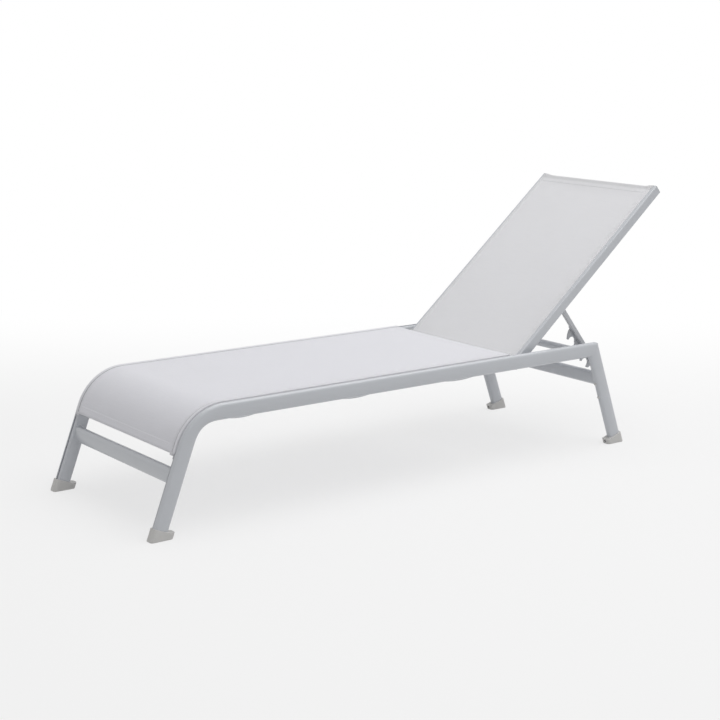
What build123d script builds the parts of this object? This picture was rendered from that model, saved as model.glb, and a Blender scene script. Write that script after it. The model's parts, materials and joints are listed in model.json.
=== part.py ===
from build123d import *
import os
from math import asin, atan2, cos, degrees, hypot, pi, radians, sin, sqrt, tan

# A sling chaise lounge in millimetres. X runs from the foot end to the head end, Y across, Z up.
# Left is the sitter's left, the side of negative Y. Every left piece is mirrored for the right.
# While it is drawn, X is zero where the front leg's axis meets the floor. The last step moves
# the whole lounge so that its origin is on the floor under the middle of its length.

# Stance of the side frames
frame_width = 620.0
rail_top_height = 358.0
foot_spacing = 1766.0
front_leg_lean = 20.82
rear_leg_lean = 19.72

# Tube of the side frames: an aluminium oval with a welt channel in its crown
tube_depth = 48.0
tube_width = 25.0
tube_end_share = 0.88
tube_wall = 2.0
bend_outer_radius = 154.0
bend_squeeze = 7.5
corner_radius = 17.0
weld_backing = 12.0
tube_foot_up = 12.0
weld_root = 4.0

# Welt channel, the same in the seat rails and in the back rails
channel_bore = 8.5
channel_wall = 1.5
channel_lip = 2.2
channel_slot = 4.8
channel_inset = 3.5

# Cross tubes of the base
front_stretcher_depth = 50.0
rear_stretcher_depth = 45.0
stretcher_width = 25.0
stretcher_wall = 1.8
front_stretcher_height = 167.4
rear_stretcher_gap = 5.9
seat_bar_diameter = 19.0
seat_bar_wall = 1.5
seat_bar_below_top = 38.0
seat_bar_sag = 64.0
seat_bar_first = 345.0
seat_bar_before_sling_end = 124.0
seat_bar_names = ("front", "middle", "rear")
catch_bar_diameter = 25.0
catch_bar_wall = 2.0
catch_bar_before_corner = 7.1
catch_bar_below_axis = 16.0

# Foot caps and their screws
cap_front = 1.8
cap_heel = 18.0
cap_side = 3.75
cap_corner_radius = 10.0
cap_top_up = 30.5
cap_heel_height = 18.5
cap_rim_radius = 1.2
cap_sole_radius = 2.0
cap_fit = 0.15
cap_screw_height = 9.0
screw_head_diameter = 7.6
screw_head_depth = 2.6
screw_head_sink = 6.5
screw_recess_diameter = 8.4
screw_shank_diameter = 4.0
screw_slack = 0.15
screw_grip = 5.0

# Buttons on the rear legs, on which a second lounge rests when stacked
button_diameter = 9.0
button_height = 3.0
button_dome = 1.0
button_stem_diameter = 5.0
button_stem_grip = 4.0
button_heights = (166.0, 214.0)
button_fit = 0.05

# Slings and their welt rods
sling_thickness = 1.2
seat_sag = 3.0
back_sag = 3.0
back_end_sag = 0.2
back_taper_share = 0.08
sling_down_leg = 27.7
sling_before_hinge = 63.0
welt_diameter = 6.0
welt_gap = 0.2
sling_gap = 0.3
stop_length = 13.0
stop_proud = 1.0
stop_gap = 0.3
stop_fit = 0.1

# Back frame, which lies between the seat rails
back_tube_width = 23.0
back_tube_radius = 5.0
back_tube_wall = 2.0
back_angle = 40.0
back_length = 792.0
back_tail = 33.0
back_channel_inset = 4.0
back_bar_diameter = 22.0
back_bar_wall = 1.5
back_top_setback = 2.0
sleeve_end_gap = 10.0
sleeve_return = 14.0
end_cap_thickness = 2.5
end_cap_plug = 12.0
end_cap_fit = 0.15
end_cap_bevel = 1.0

# Hinge of the back
hinge_before_corner = 300.3
hinge_pin_diameter = 9.0
hinge_thread_diameter = 8.0
hinge_bush_diameter = 12.5
hinge_flange_diameter = 22.0
hinge_flange_thickness = 2.85
hinge_spacer_diameter = 24.0
hinge_spacer_thickness = 5.0
hinge_side_play = 0.15
hinge_bush_welt_gap = 0.3
hinge_insert_diameter = 12.0
insert_length = 14.0
running_clearance = 0.05
face_gap = 0.3
bolt_head_diameter = 16.0
bolt_head_height = 4.5
socket_across = 6.0
socket_depth = 2.6
thread_engagement = 12.0

# Props: a strut on each back rail, with a comb of claws that hooks over the catch bar
prop_reach = 246.0
prop_gap = 2.0
strut_thickness = 12.0
strut_depth = 15.5
strut_edge_bevel = 1.5
strut_eye_radius = 10.5
strut_beyond_last_notch = 24.0
comb_thickness = 6.0
comb_axis_offset = 28.0
notch_clearance = 3.7
notch_pitch = 50.9
notch_count = 3
notch_in_use = 2
seat_gap = 0.2
comb_head = 48.0
comb_web_head = 30.0
comb_web_front = 9.0
comb_spine_inset = 1.2
comb_tail = 26.0
comb_nose_radius = 8.0
comb_nose_front = -1.5
claw_tip_thickness = 5.5
claw_tip_angle = 198.0
claw_root_share = (-2.30, 0.95)
claw_belly_share = (-1.70, 0.0)
prop_pin_diameter = 8.0
prop_thread_diameter = 6.0
prop_bush_diameter = 12.0
prop_bush_flange_diameter = 16.0
prop_bush_flange_thickness = 1.2
prop_washer_diameter = 20.0
prop_washer_gap = 0.15
prop_insert_diameter = 9.0

# A cut runs this far past the face that it opens
overrun = 3.0

# Places worked out from the sizes above
front_lean = radians(front_leg_lean)
rear_lean = radians(rear_leg_lean)
tilt = radians(back_angle)
tube_end_radius = tube_end_share * tube_width / 2
stretcher_end_radius = tube_end_share * stretcher_width / 2
tube_plane = (frame_width - tube_width) / 2
rail_inner = frame_width / 2 - tube_width
slot_plane = tube_plane - channel_inset
channel_depth = channel_lip + channel_bore / 2
rail_axis_height = rail_top_height - tube_depth / 2
hinge_height = rail_axis_height
back_half_width = rail_inner - hinge_spacer_thickness - hinge_flange_thickness - hinge_side_play
back_rail_plane = back_half_width - back_tube_width / 2
back_inner = back_half_width - back_tube_width
back_slot_plane = back_rail_plane - back_channel_inset
sleeve_half_width = back_inner - sleeve_end_gap
front_up = (sin(front_lean), cos(front_lean))
front_out = (-cos(front_lean), sin(front_lean))
rear_down = (sin(rear_lean), -cos(rear_lean))
rear_corner_x = foot_spacing - tan(rear_lean) * rail_axis_height
hinge_x = rear_corner_x - hinge_before_corner
catch_bar_x = rear_corner_x - catch_bar_before_corner
catch_bar_height = rail_axis_height - catch_bar_below_axis
seat_bar_height = rail_top_height - seat_bar_below_top
seat_sling_rear_x = hinge_x - sling_before_hinge
seat_bar_last = seat_sling_rear_x - seat_bar_before_sling_end
seat_bar_pitch = (seat_bar_last - seat_bar_first) / (len(seat_bar_names) - 1)

# The front bend: where the crown lines of leg and rail would meet, and the arc between them
crown_corner_up = (rail_top_height - tube_depth / 2 * sin(front_lean)) / cos(front_lean)
crown_corner_x = crown_corner_up * sin(front_lean) - tube_depth / 2 * cos(front_lean)
bend_tangent = bend_outer_radius * tan((pi / 2 - front_lean) / 2)
bend_start_up = crown_corner_up - bend_tangent
bend_end_x = crown_corner_x + bend_tangent
seat_sling_front_up = bend_start_up - sling_down_leg
bend_first_angle = pi - front_lean
bend_last_angle = pi / 2
bend_stations = 9

# The rear mitre: a plane halfway between the rail's and the rear leg's directions
mitre_length = hypot(1 + rear_down[0], rear_down[1])
mitre_normal = ((1 + rear_down[0]) / mitre_length, 0, rear_down[1] / mitre_length)

# The back's tube is deep enough for the hinge bush to pass under the welt in its channel
back_tube_depth = 2 * (channel_depth + welt_diameter / 2 + hinge_bush_welt_gap) + hinge_bush_diameter

# The prop: its pivot on the back rail, and its direction from the pivot to the catch bar
pivot_x = hinge_x + prop_reach * cos(tilt)
pivot_height = hinge_height + prop_reach * sin(tilt)
strut_outer = back_inner - prop_gap
strut_inner = strut_outer - strut_thickness
comb_inner = strut_inner - comb_thickness
notch_radius = catch_bar_diameter / 2 + notch_clearance
notch_slack = notch_clearance - seat_gap
bar_behind_axis = comb_axis_offset - notch_slack
bar_distance = hypot(catch_bar_x - pivot_x, catch_bar_height - pivot_height)
bar_bearing = atan2(catch_bar_height - pivot_height, catch_bar_x - pivot_x)
strut_bearing = bar_bearing + asin(bar_behind_axis / bar_distance)
used_notch_along = sqrt(bar_distance ** 2 - bar_behind_axis ** 2)
notch_places = [used_notch_along + (i + 1 - notch_in_use) * notch_pitch for i in range(notch_count)]
strut_length = notch_places[-1] + strut_beyond_last_notch
comb_nose_along = notch_places[-1] + comb_tail - comb_nose_radius
comb_nose_across = comb_nose_front + comb_nose_radius - comb_axis_offset
comb_nose_height = (
    pivot_height + comb_nose_along * sin(strut_bearing) + comb_nose_across * cos(strut_bearing)
)
rear_stretcher_top = comb_nose_height - comb_nose_radius - rear_stretcher_gap
rear_stretcher_height = rear_stretcher_top - rear_stretcher_depth / 2

back_frame = Plane(origin=(hinge_x, 0, hinge_height), x_dir=(0, 1, 0), z_dir=(cos(tilt), 0, sin(tilt)))
hinge_frame = Plane(origin=(hinge_x, 0, hinge_height), x_dir=(1, 0, 0), z_dir=(0, -1, 0))
prop_frame = Plane(
    origin=(pivot_x, 0, pivot_height),
    x_dir=(cos(strut_bearing), 0, sin(strut_bearing)),
    z_dir=(0, -1, 0),
)


def oval(depth, width, end_radius):
    """Tube section with round ends and gently bowed sides. Its depth runs along local Y."""
    end_centre = depth / 2 - end_radius
    side_radius = ((width / 2) ** 2 + end_centre ** 2 - end_radius ** 2) / (width - 2 * end_radius)
    side_centre = side_radius - width / 2
    reach = side_radius - end_radius
    x = side_radius * side_centre / reach - side_centre
    y = side_radius * end_centre / reach
    return make_face([
        ThreePointArc((x, -y), (width / 2, 0), (x, y)),
        ThreePointArc((x, y), (0, depth / 2), (-x, y)),
        ThreePointArc((-x, y), (-width / 2, 0), (-x, -y)),
        ThreePointArc((-x, -y), (0, -depth / 2), (x, -y)),
    ])


def side_oval(inset, squeeze=0):
    """The side tube's section, drawn in by a wall where its hollow is meant."""
    return oval(tube_depth - squeeze - 2 * inset, tube_width - 2 * inset, tube_end_radius - inset)


def leg_point(up, inward, y):
    """A point of the front leg: so far up its axis, so far in from its front crown."""
    out = tube_depth / 2 - inward
    x = up * front_up[0] + out * front_out[0]
    z = up * front_up[1] + out * front_out[1]
    return Vector(x, y, z)


def bend_point(angle, inward, y):
    """A point of the front bend, so far in from its outer arc."""
    radius = bend_outer_radius - inward
    x = bend_end_x + radius * cos(angle)
    z = rail_top_height - bend_outer_radius + radius * sin(angle)
    return Vector(x, y, z)


def leg_plane(up, inward, y):
    """A plane square to the front leg, its local Y pointing out through the front crown."""
    return Plane(origin=leg_point(up, inward, y), x_dir=(0, 1, 0), z_dir=(front_up[0], 0, front_up[1]))


def run_along_side(face, inward, y, start_up, end_x):
    """Carry a section up the front leg, round the bend and along the rail."""
    middle_angle = (bend_first_angle + bend_last_angle) / 2
    bend_start = bend_point(bend_first_angle, inward, y)
    bend_end = bend_point(bend_last_angle, inward, y)
    path = Wire([
        Line(leg_point(start_up, inward, y), bend_start),
        ThreePointArc(bend_start, bend_point(middle_angle, inward, y), bend_end),
        Line(bend_end, Vector(end_x, y, rail_top_height - inward)),
    ])
    return sweep(leg_plane(start_up, inward, y) * face, path=path)


def side_tube(inset, start_up):
    """The front leg, bend and rail as one bar. The bend is a little flatter, as bent tube is."""
    y = -tube_plane
    axis_in = tube_depth / 2
    leg = extrude(
        leg_plane(start_up, axis_in, y) * side_oval(inset),
        amount=bend_start_up - start_up,
        dir=(front_up[0], 0, front_up[1]),
    )
    sections = []
    for i in range(bend_stations):
        share = i / (bend_stations - 1)
        angle = bend_first_angle + (bend_last_angle - bend_first_angle) * share
        squeeze = bend_squeeze * sin(pi * share) ** 2
        centre = bend_point(angle, (tube_depth - squeeze) / 2, y)
        plane = Plane(origin=centre, x_dir=(0, 1, 0), z_dir=(sin(angle), 0, -cos(angle)))
        sections.append(plane * side_oval(inset, squeeze))
    bend = loft(sections)
    rail_plane = Plane(origin=(bend_end_x, y, rail_axis_height), x_dir=(0, 1, 0), z_dir=(1, 0, 0))
    rail = extrude(
        rail_plane * side_oval(inset),
        amount=rear_corner_x + tube_depth - bend_end_x,
        dir=(1, 0, 0),
    )
    return leg + bend + rail


def keyhole(bore, slot, depth):
    """Section of a welt channel: a round bore and the slot from it to the crown."""
    opening = depth + overrun
    return Circle(bore / 2) + Pos(0, opening / 2) * Rectangle(slot, opening)


def mitre_plane(offset):
    """The rear mitre, moved along its own normal."""
    x = rear_corner_x + mitre_normal[0] * offset
    z = rail_axis_height + mitre_normal[2] * offset
    return Plane(origin=(x, 0, z), z_dir=mitre_normal)


def corner_dressing():
    """What is ground off the outer corner after welding, across one side tube."""
    outer_x = rear_corner_x + (tube_depth / 2) * (1 / cos(rear_lean) - tan(rear_lean))
    tangent = corner_radius * tan((pi / 2 - rear_lean) / 2)
    centre_x = outer_x - tangent
    centre_z = rail_top_height - corner_radius
    middle = (pi / 2 + rear_lean) / 2
    first = (centre_x, rail_top_height)
    arc_middle = (centre_x + corner_radius * cos(middle), centre_z + corner_radius * sin(middle))
    last = (centre_x + corner_radius * cos(rear_lean), centre_z + corner_radius * sin(rear_lean))
    edges = [
        ThreePointArc(first, arc_middle, last),
        Line(last, (last[0] + overrun, last[1])),
        Line((last[0] + overrun, last[1]), (last[0] + overrun, rail_top_height + overrun)),
        Line((last[0] + overrun, rail_top_height + overrun), (centre_x, rail_top_height + overrun)),
        Line((centre_x, rail_top_height + overrun), first),
    ]
    face = Plane.XZ * make_face(edges)
    half = frame_width / 2 + overrun
    return extrude(face, amount=half, dir=(0, -1, 0))


def rear_leg_plane(up, out=0):
    """A plane square to the rear leg, so far up its axis; its local Y points to the rear."""
    x = foot_spacing - up * rear_down[0] + out * cos(rear_lean)
    z = -up * rear_down[1] + out * sin(rear_lean)
    return Plane(origin=(x, -tube_plane, z), x_dir=(0, -1, 0), z_dir=(-rear_down[0], 0, -rear_down[1]))


def rear_tube(inset, start_up):
    """The rear leg as a bar that runs on past the mitre."""
    length = rail_axis_height / cos(rear_lean) + tube_depth - start_up
    return extrude(
        rear_leg_plane(start_up) * side_oval(inset),
        amount=length,
        dir=(-rear_down[0], 0, -rear_down[1]),
    )


def drill(plane, diameter, start, length):
    """A round bar on a plane's axis, from start over length."""
    return plane * Pos(0, 0, start + length / 2) * Cylinder(diameter / 2, length)


def ring(plane, outer, inner, start, length):
    """A collar on a plane's axis."""
    bore = drill(plane, inner, start - overrun, length + 2 * overrun)
    return drill(plane, outer, start, length) - bore


def cap_screw_plane(front):
    """The screw's axis, from the cap's heel face into the leg."""
    lean = front_lean if front else rear_lean
    heel = tube_depth / 2 + cap_heel
    up = (cap_screw_height + heel * sin(lean)) / cos(lean)
    if front:
        origin = leg_point(up, tube_depth + cap_heel, -tube_plane)
        return Plane(origin=origin, x_dir=(0, 1, 0), z_dir=(front_out[0], 0, front_out[1]))
    foot = rear_leg_plane(up, -heel)
    return Plane(origin=foot.origin, x_dir=(0, 1, 0), z_dir=(cos(rear_lean), 0, sin(rear_lean)))


def cap_screw_hole(front):
    """The hole that the cap's screw needs in the leg's inner wall."""
    diameter = screw_shank_diameter + 2 * screw_slack
    return drill(cap_screw_plane(front), diameter, cap_heel - overrun, 2 * (tube_wall + overrun))


def side_rail(outer):
    """Front leg, bend and seat rail in one hollow length, its welt channel open in the crown."""
    hollow = split(side_tube(tube_wall, tube_foot_up - overrun), mitre_plane(-weld_backing), Keep.BOTTOM)
    far_x = rear_corner_x + tube_depth
    start = tube_foot_up - 2 * overrun
    housing_face = Circle(channel_bore / 2 + channel_wall)
    housing = run_along_side(housing_face, channel_depth, -slot_plane, start, far_x)
    channel_face = keyhole(channel_bore, channel_slot, channel_depth)
    channel = run_along_side(channel_face, channel_depth, -slot_plane, start, far_x)
    rail = split(outer, mitre_plane(0), Keep.BOTTOM)
    insert_hole_diameter = hinge_insert_diameter + 2 * running_clearance
    insert_hole = drill(hinge_frame, insert_hole_diameter, rail_inner - overrun, tube_wall + 2 * overrun)
    return rail - (hollow - housing) - channel - corner_dressing() - insert_hole - cap_screw_hole(True)


def rear_leg(outer):
    """Hollow rear leg, mitred to the rail."""
    hollow = split(rear_tube(tube_wall, tube_foot_up - overrun), mitre_plane(weld_backing), Keep.TOP)
    leg = split(outer, mitre_plane(0), Keep.TOP) - hollow - corner_dressing() - cap_screw_hole(False)
    for height in button_heights:
        stem = button_stem_diameter + 2 * button_fit
        leg -= drill(button_plane(height), stem, -overrun, tube_wall + 2 * overrun)
    return leg


def button_plane(height):
    """The axis of a button, pointing from the leg's front face into the leg."""
    half = tube_depth / 2
    up = (height + half * sin(rear_lean)) / cos(rear_lean)
    place = rear_leg_plane(up, -half)
    return Plane(origin=place.origin, x_dir=(0, 1, 0), z_dir=(cos(rear_lean), 0, sin(rear_lean)))


def leg_button(height, leg_outer):
    """A domed plastic button with a stem pushed into the leg's wall."""
    plane = button_plane(height)
    straight = button_height - button_dome
    head = drill(plane, button_diameter, -straight, straight + button_dome)
    crown = plane * Pos(0, 0, -straight - button_dome / 2) * Cone(
        button_diameter / 2 - button_dome, button_diameter / 2, button_dome
    )
    stem = drill(plane, button_stem_diameter, 0, tube_wall + button_stem_grip)
    return (head + crown) - leg_outer + stem


def foot_cap(front):
    """A plastic shoe: a collar square to the leg, a level sole and a level heel that takes a screw."""
    base = leg_plane(0, tube_depth / 2, -tube_plane) if front else rear_leg_plane(0)
    up = (front_up[0], 0, front_up[1]) if front else (-rear_down[0], 0, -rear_down[1])
    depth = tube_depth + cap_front + cap_heel
    section = Pos(0, (cap_front - cap_heel) / 2) * RectangleRounded(
        tube_width + 2 * cap_side, depth, cap_corner_radius
    )
    below = extrude(base * section, amount=-depth, dir=up)
    collar = below + extrude(base * section, amount=cap_top_up, dir=up)
    collar = fillet(collar.faces().sort_by(Axis.Z)[-1].edges(), cap_rim_radius)
    level = Pos(base.origin.X, base.origin.Y, cap_heel_height / 2) * Box(4 * depth, 4 * depth, cap_heel_height)
    heel = level & (below + extrude(base * section, amount=depth, dir=up))
    heel = fillet(heel.faces().sort_by(Axis.Z)[-1].edges(), cap_rim_radius)
    ground = Pos(base.origin.X, base.origin.Y, -depth) * Box(4 * depth, 4 * depth, 2 * depth)
    block = (collar - ground) + heel
    sole = block.faces().sort_by(Axis.Z)[0]
    block = fillet(sole.edges(), cap_sole_radius)
    tube = oval(tube_depth + 2 * cap_fit, tube_width + 2 * cap_fit, tube_end_radius + cap_fit)
    seat = rear_leg_plane(tube_foot_up)
    if front:
        seat = leg_plane(tube_foot_up, tube_depth / 2, -tube_plane)
    block -= extrude(seat * tube, amount=cap_top_up, dir=up)
    screw = cap_screw_plane(front)
    block -= drill(screw, screw_recess_diameter, -overrun, overrun + screw_head_sink)
    return block - drill(screw, screw_shank_diameter + 2 * screw_slack, 0, cap_heel + overrun)


def foot_screw(front):
    """A pan-head screw through the heel of a foot cap into the leg."""
    plane = cap_screw_plane(front)
    shoulder = screw_head_sink - screw_head_depth
    head = drill(plane, screw_head_diameter, shoulder, screw_head_depth)
    cross = plane * Pos(0, 0, shoulder) * Box(
        screw_head_diameter / 2, screw_head_diameter / 8, screw_head_depth
    )
    cross += plane * Pos(0, 0, shoulder) * Box(
        screw_head_diameter / 8, screw_head_diameter / 2, screw_head_depth
    )
    shank = drill(plane, screw_shank_diameter, screw_head_sink, cap_heel - screw_head_sink + screw_grip)
    return head - cross + shank


def straight_tube(face, x, height, length):
    """A cross tube along Y, centred on the lounge."""
    plane = Plane(origin=(x, -length / 2, height), x_dir=(-1, 0, 0), z_dir=(0, 1, 0))
    return extrude(plane * face, amount=length, dir=(0, 1, 0))


def stretcher(x, height, depth, sides):
    """An oval stretcher between two legs, its ends shaped to them."""
    face = oval(depth, stretcher_width, stretcher_end_radius) - oval(
        depth - 2 * stretcher_wall,
        stretcher_width - 2 * stretcher_wall,
        stretcher_end_radius - stretcher_wall,
    )
    return straight_tube(face, x, height, 2 * (rail_inner + weld_root)) - sides


def catch_bar(sides):
    """The round bar that the combs hook over."""
    face = Circle(catch_bar_diameter / 2) - Circle(catch_bar_diameter / 2 - catch_bar_wall)
    return straight_tube(face, catch_bar_x, catch_bar_height, 2 * (rail_inner + weld_root)) - sides


def seat_bar(x, sides):
    """A round bar bowed down under the seat, so that the loaded sling stays clear of it."""
    bow_radius = (rail_inner ** 2 + seat_bar_sag ** 2) / (2 * seat_bar_sag)
    centre = seat_bar_height - seat_bar_sag + bow_radius
    reach = asin((rail_inner + weld_root) / bow_radius)
    ends = []
    for side in (-1, 1):
        ends.append(Vector(x, side * bow_radius * sin(reach), centre - bow_radius * cos(reach)))
    path = ThreePointArc(ends[0], Vector(x, 0, centre - bow_radius), ends[1])
    start = Plane(origin=ends[0], x_dir=(1, 0, 0), z_dir=(0, cos(reach), -sin(reach)))
    face = Circle(seat_bar_diameter / 2) - Circle(seat_bar_diameter / 2 - seat_bar_wall)
    return sweep(start * face, path=path) - sides


def sling_section(half_slot, sag, tab_depth):
    """A stretched sheet, sagging between two edges that turn down into the welt slots."""
    outer = half_slot + sling_thickness / 2
    inner = half_slot - sling_thickness / 2
    top = sling_thickness
    return make_face([
        ThreePointArc((-outer, top), (0, top - sag), (outer, top)),
        Line((outer, top), (outer, -tab_depth)),
        Line((outer, -tab_depth), (inner, -tab_depth)),
        Line((inner, -tab_depth), (inner, 0)),
        ThreePointArc((inner, 0), (0, -sag), (-inner, 0)),
        Line((-inner, 0), (-inner, -tab_depth)),
        Line((-inner, -tab_depth), (-outer, -tab_depth)),
        Line((-outer, -tab_depth), (-outer, top)),
    ])


def seat_sling():
    """The seat's sheet: along the rails, round the bend and part way down the front legs."""
    tab = channel_depth - welt_diameter / 2 - welt_gap
    section = sling_section(slot_plane, seat_sag, tab)
    return run_along_side(section, 0, 0, seat_sling_front_up, seat_sling_rear_x)


def seat_welt():
    """The rod in the seat sling's hem, caught in the rail's channel."""
    rod = Circle(welt_diameter / 2)
    return run_along_side(rod, channel_depth, -slot_plane, seat_sling_front_up, seat_sling_rear_x)


def channel_stop():
    """A plastic key that closes the channel below the seat sling's front end."""
    bore = Circle(channel_bore / 2 - stop_fit)
    rise = channel_depth + stop_proud
    tongue = Pos(0, rise / 2) * Rectangle(channel_slot - 2 * stop_fit, rise)
    plane = leg_plane(seat_sling_front_up - stop_gap, channel_depth, -slot_plane)
    return extrude(plane * (bore + tongue), amount=-stop_length, dir=(front_up[0], 0, front_up[1]))


def back_section():
    """The back rail's hollow section with its welt channel, local Y towards the sitter."""
    outer = RectangleRounded(back_tube_width, back_tube_depth, back_tube_radius)
    hollow = RectangleRounded(
        back_tube_width - 2 * back_tube_wall,
        back_tube_depth - 2 * back_tube_wall,
        back_tube_radius - back_tube_wall,
    )
    place = Pos(back_channel_inset, back_tube_depth / 2 - channel_depth)
    housing = place * Circle(channel_bore / 2 + channel_wall)
    return outer - (hollow - housing) - place * keyhole(channel_bore, channel_slot, channel_depth)


def back_rail():
    """A side rail of the back, bored for its hinge bush and for the prop's insert."""
    low = end_cap_thickness - back_tail
    high = back_length - end_cap_thickness
    blank = extrude(back_section(), amount=high - low, dir=(0, 0, 1))
    rail = back_frame * Pos(-back_rail_plane, 0, low) * blank
    bush_hole = hinge_bush_diameter + 2 * running_clearance
    rail -= drill(hinge_frame, bush_hole, back_inner - overrun, back_tube_width + 2 * overrun)
    insert_hole = prop_insert_diameter + 2 * running_clearance
    insert_hole_length = overrun + insert_length + 2 * face_gap
    return rail - drill(prop_frame, insert_hole, back_inner - overrun, insert_hole_length)


def back_end_cap(at_top):
    """A plastic end cap with a plug inside the back rail."""
    inset = back_tube_wall + channel_bore + 2 * channel_wall
    plate = RectangleRounded(back_tube_width, back_tube_depth, back_tube_radius)
    plug_depth = back_tube_depth - back_tube_wall - inset - end_cap_fit
    plug = Pos(0, (back_tube_wall - inset - end_cap_fit) / 2 + end_cap_fit) * RectangleRounded(
        back_tube_width - 2 * back_tube_wall - 2 * end_cap_fit,
        plug_depth,
        back_tube_radius - back_tube_wall,
    )
    cap = extrude(plate, amount=end_cap_thickness, dir=(0, 0, 1))
    cap = chamfer(cap.faces().sort_by(Axis.Z)[-1].edges(), end_cap_bevel)
    cap += extrude(plug, amount=end_cap_plug, dir=(0, 0, -1))
    if at_top:
        return back_frame * Pos(-back_rail_plane, 0, back_length - end_cap_thickness) * cap
    cap = mirror(cap, about=Plane.XY)
    return back_frame * Pos(-back_rail_plane, 0, end_cap_thickness - back_tail) * cap


def back_bar_place(at_top):
    """Where a cross bar of the back lies: its height along the back, and its offset to the front."""
    wrap = back_bar_diameter / 2 + sling_gap
    forward = back_tube_depth / 2 - wrap
    if at_top:
        return back_length - back_top_setback - sling_thickness - wrap, forward
    return sling_thickness + wrap - back_tail, forward


def back_bar(at_top, rails):
    """A round cross bar between the back rails; the sling's sleeve runs round it."""
    along, forward = back_bar_place(at_top)
    length = 2 * (back_inner + weld_root)
    face = Circle(back_bar_diameter / 2) - Circle(back_bar_diameter / 2 - back_bar_wall)
    bar = extrude(Plane.YZ * face, amount=length / 2, both=True)
    return back_frame * Pos(0, forward, along) * bar - rails


def sleeve(at_top):
    """The end of the back sling: round the cross bar and a short way down behind it."""
    along, forward = back_bar_place(at_top)
    inner = back_bar_diameter / 2 + sling_gap
    outer = inner + sling_thickness
    turn = 1 if at_top else -1
    back_low = -turn * sleeve_return
    edges = [
        ThreePointArc((inner, 0), (0, turn * inner), (-inner, 0)),
        Line((-inner, 0), (-inner, back_low)),
        Line((-inner, back_low), (-outer, back_low)),
        Line((-outer, back_low), (-outer, 0)),
        ThreePointArc((-outer, 0), (0, turn * outer), (outer, 0)),
        Line((outer, 0), (outer, back_low)),
        Line((outer, back_low), (inner, back_low)),
        Line((inner, back_low), (inner, 0)),
    ]
    band = extrude(Plane.YZ * make_face(edges), amount=sleeve_half_width, both=True)
    return Pos(0, forward, along) * band


def back_sling():
    """The back's sheet: stretched between the back rails and sleeved over both cross bars."""
    low = back_bar_place(False)[0]
    high = back_bar_place(True)[0]
    tab = channel_depth - welt_diameter / 2 - welt_gap
    section = Pos(0, back_tube_depth / 2) * sling_section(back_slot_plane, back_end_sag, tab)
    deep = Pos(0, back_tube_depth / 2) * sling_section(back_slot_plane, back_sag, tab)
    span = high - low
    flat = span * back_taper_share
    lower = loft([Pos(0, 0, low) * section, Pos(0, 0, low + flat) * deep])
    middle = extrude(Pos(0, 0, low + flat) * deep, amount=span - 2 * flat, dir=(0, 0, 1))
    upper = loft([Pos(0, 0, high - flat) * deep, Pos(0, 0, high) * section])
    return back_frame * (lower + middle + upper + sleeve(False) + sleeve(True))


def back_welt():
    """The rod in the back sling's hem, caught in the back rail's channel."""
    low = back_bar_place(False)[0]
    high = back_bar_place(True)[0]
    rod = Pos(-back_slot_plane, back_tube_depth / 2 - channel_depth, low) * Circle(welt_diameter / 2)
    return back_frame * extrude(rod, amount=high - low, dir=(0, 0, 1))


def shoulder_bolt(plane, pin, thread, head_face, shoulder_end):
    """A socket-head shoulder bolt: its head is inboard, its thread points outboard."""
    head = drill(plane, bolt_head_diameter, head_face - bolt_head_height, bolt_head_height)
    socket = plane * Pos(0, 0, head_face - bolt_head_height) * extrude(
        RegularPolygon(socket_across / 2, 6, major_radius=False), amount=socket_depth, both=True
    )
    shoulder = drill(plane, pin, head_face, shoulder_end - head_face)
    tip = drill(plane, thread, shoulder_end, thread_engagement)
    return head - socket + shoulder + tip


def hinge_bolt():
    """The back's pivot bolt, screwed from inside into the seat rail."""
    return shoulder_bolt(
        hinge_frame, hinge_pin_diameter, hinge_thread_diameter, back_inner - face_gap, rail_inner
    )


def hinge_insert():
    """A threaded insert in the seat rail's inner wall."""
    bore = hinge_thread_diameter + 2 * running_clearance
    return ring(hinge_frame, hinge_insert_diameter, bore, rail_inner + face_gap, insert_length)


def hinge_spacer(side_outer):
    """A plastic ring on the bolt, its outer face shaped to the seat rail."""
    start = rail_inner - hinge_spacer_thickness
    bore = hinge_pin_diameter + 2 * running_clearance
    blank = ring(hinge_frame, hinge_spacer_diameter, bore, start, hinge_spacer_thickness + weld_root / 2)
    core = drill(hinge_frame, hinge_insert_diameter + 2 * face_gap, rail_inner, weld_root)
    return blank - side_outer - core


def hinge_bush():
    """A flanged plastic bush through the back rail, on which the back turns."""
    bore = hinge_pin_diameter + 2 * running_clearance
    sleeve_part = ring(hinge_frame, hinge_bush_diameter, bore, back_inner, back_tube_width)
    flange = ring(hinge_frame, hinge_flange_diameter, bore, back_half_width, hinge_flange_thickness)
    return sleeve_part + flange


def prop_bolt():
    """The strut's pivot bolt, screwed into the back rail's inner wall."""
    head_face = strut_inner - prop_bush_flange_thickness - face_gap
    return shoulder_bolt(prop_frame, prop_pin_diameter, prop_thread_diameter, head_face, back_inner)


def prop_insert():
    """A threaded insert in the back rail's inner wall."""
    bore = prop_thread_diameter + 2 * running_clearance
    return ring(prop_frame, prop_insert_diameter, bore, back_inner + face_gap, insert_length)


def prop_washer():
    """A thin plastic washer between strut and back rail."""
    start = strut_outer + prop_washer_gap
    bore = prop_pin_diameter + 2 * running_clearance
    return ring(prop_frame, prop_washer_diameter, bore, start, prop_gap - 2 * prop_washer_gap)


def prop_bush():
    """A flanged plastic bush in the strut's eye."""
    bore = prop_pin_diameter + 2 * running_clearance
    sleeve_part = ring(prop_frame, prop_bush_diameter, bore, strut_inner, strut_thickness)
    flange = ring(
        prop_frame,
        prop_bush_flange_diameter,
        bore,
        strut_inner - prop_bush_flange_thickness,
        prop_bush_flange_thickness,
    )
    return sleeve_part + flange


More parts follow.
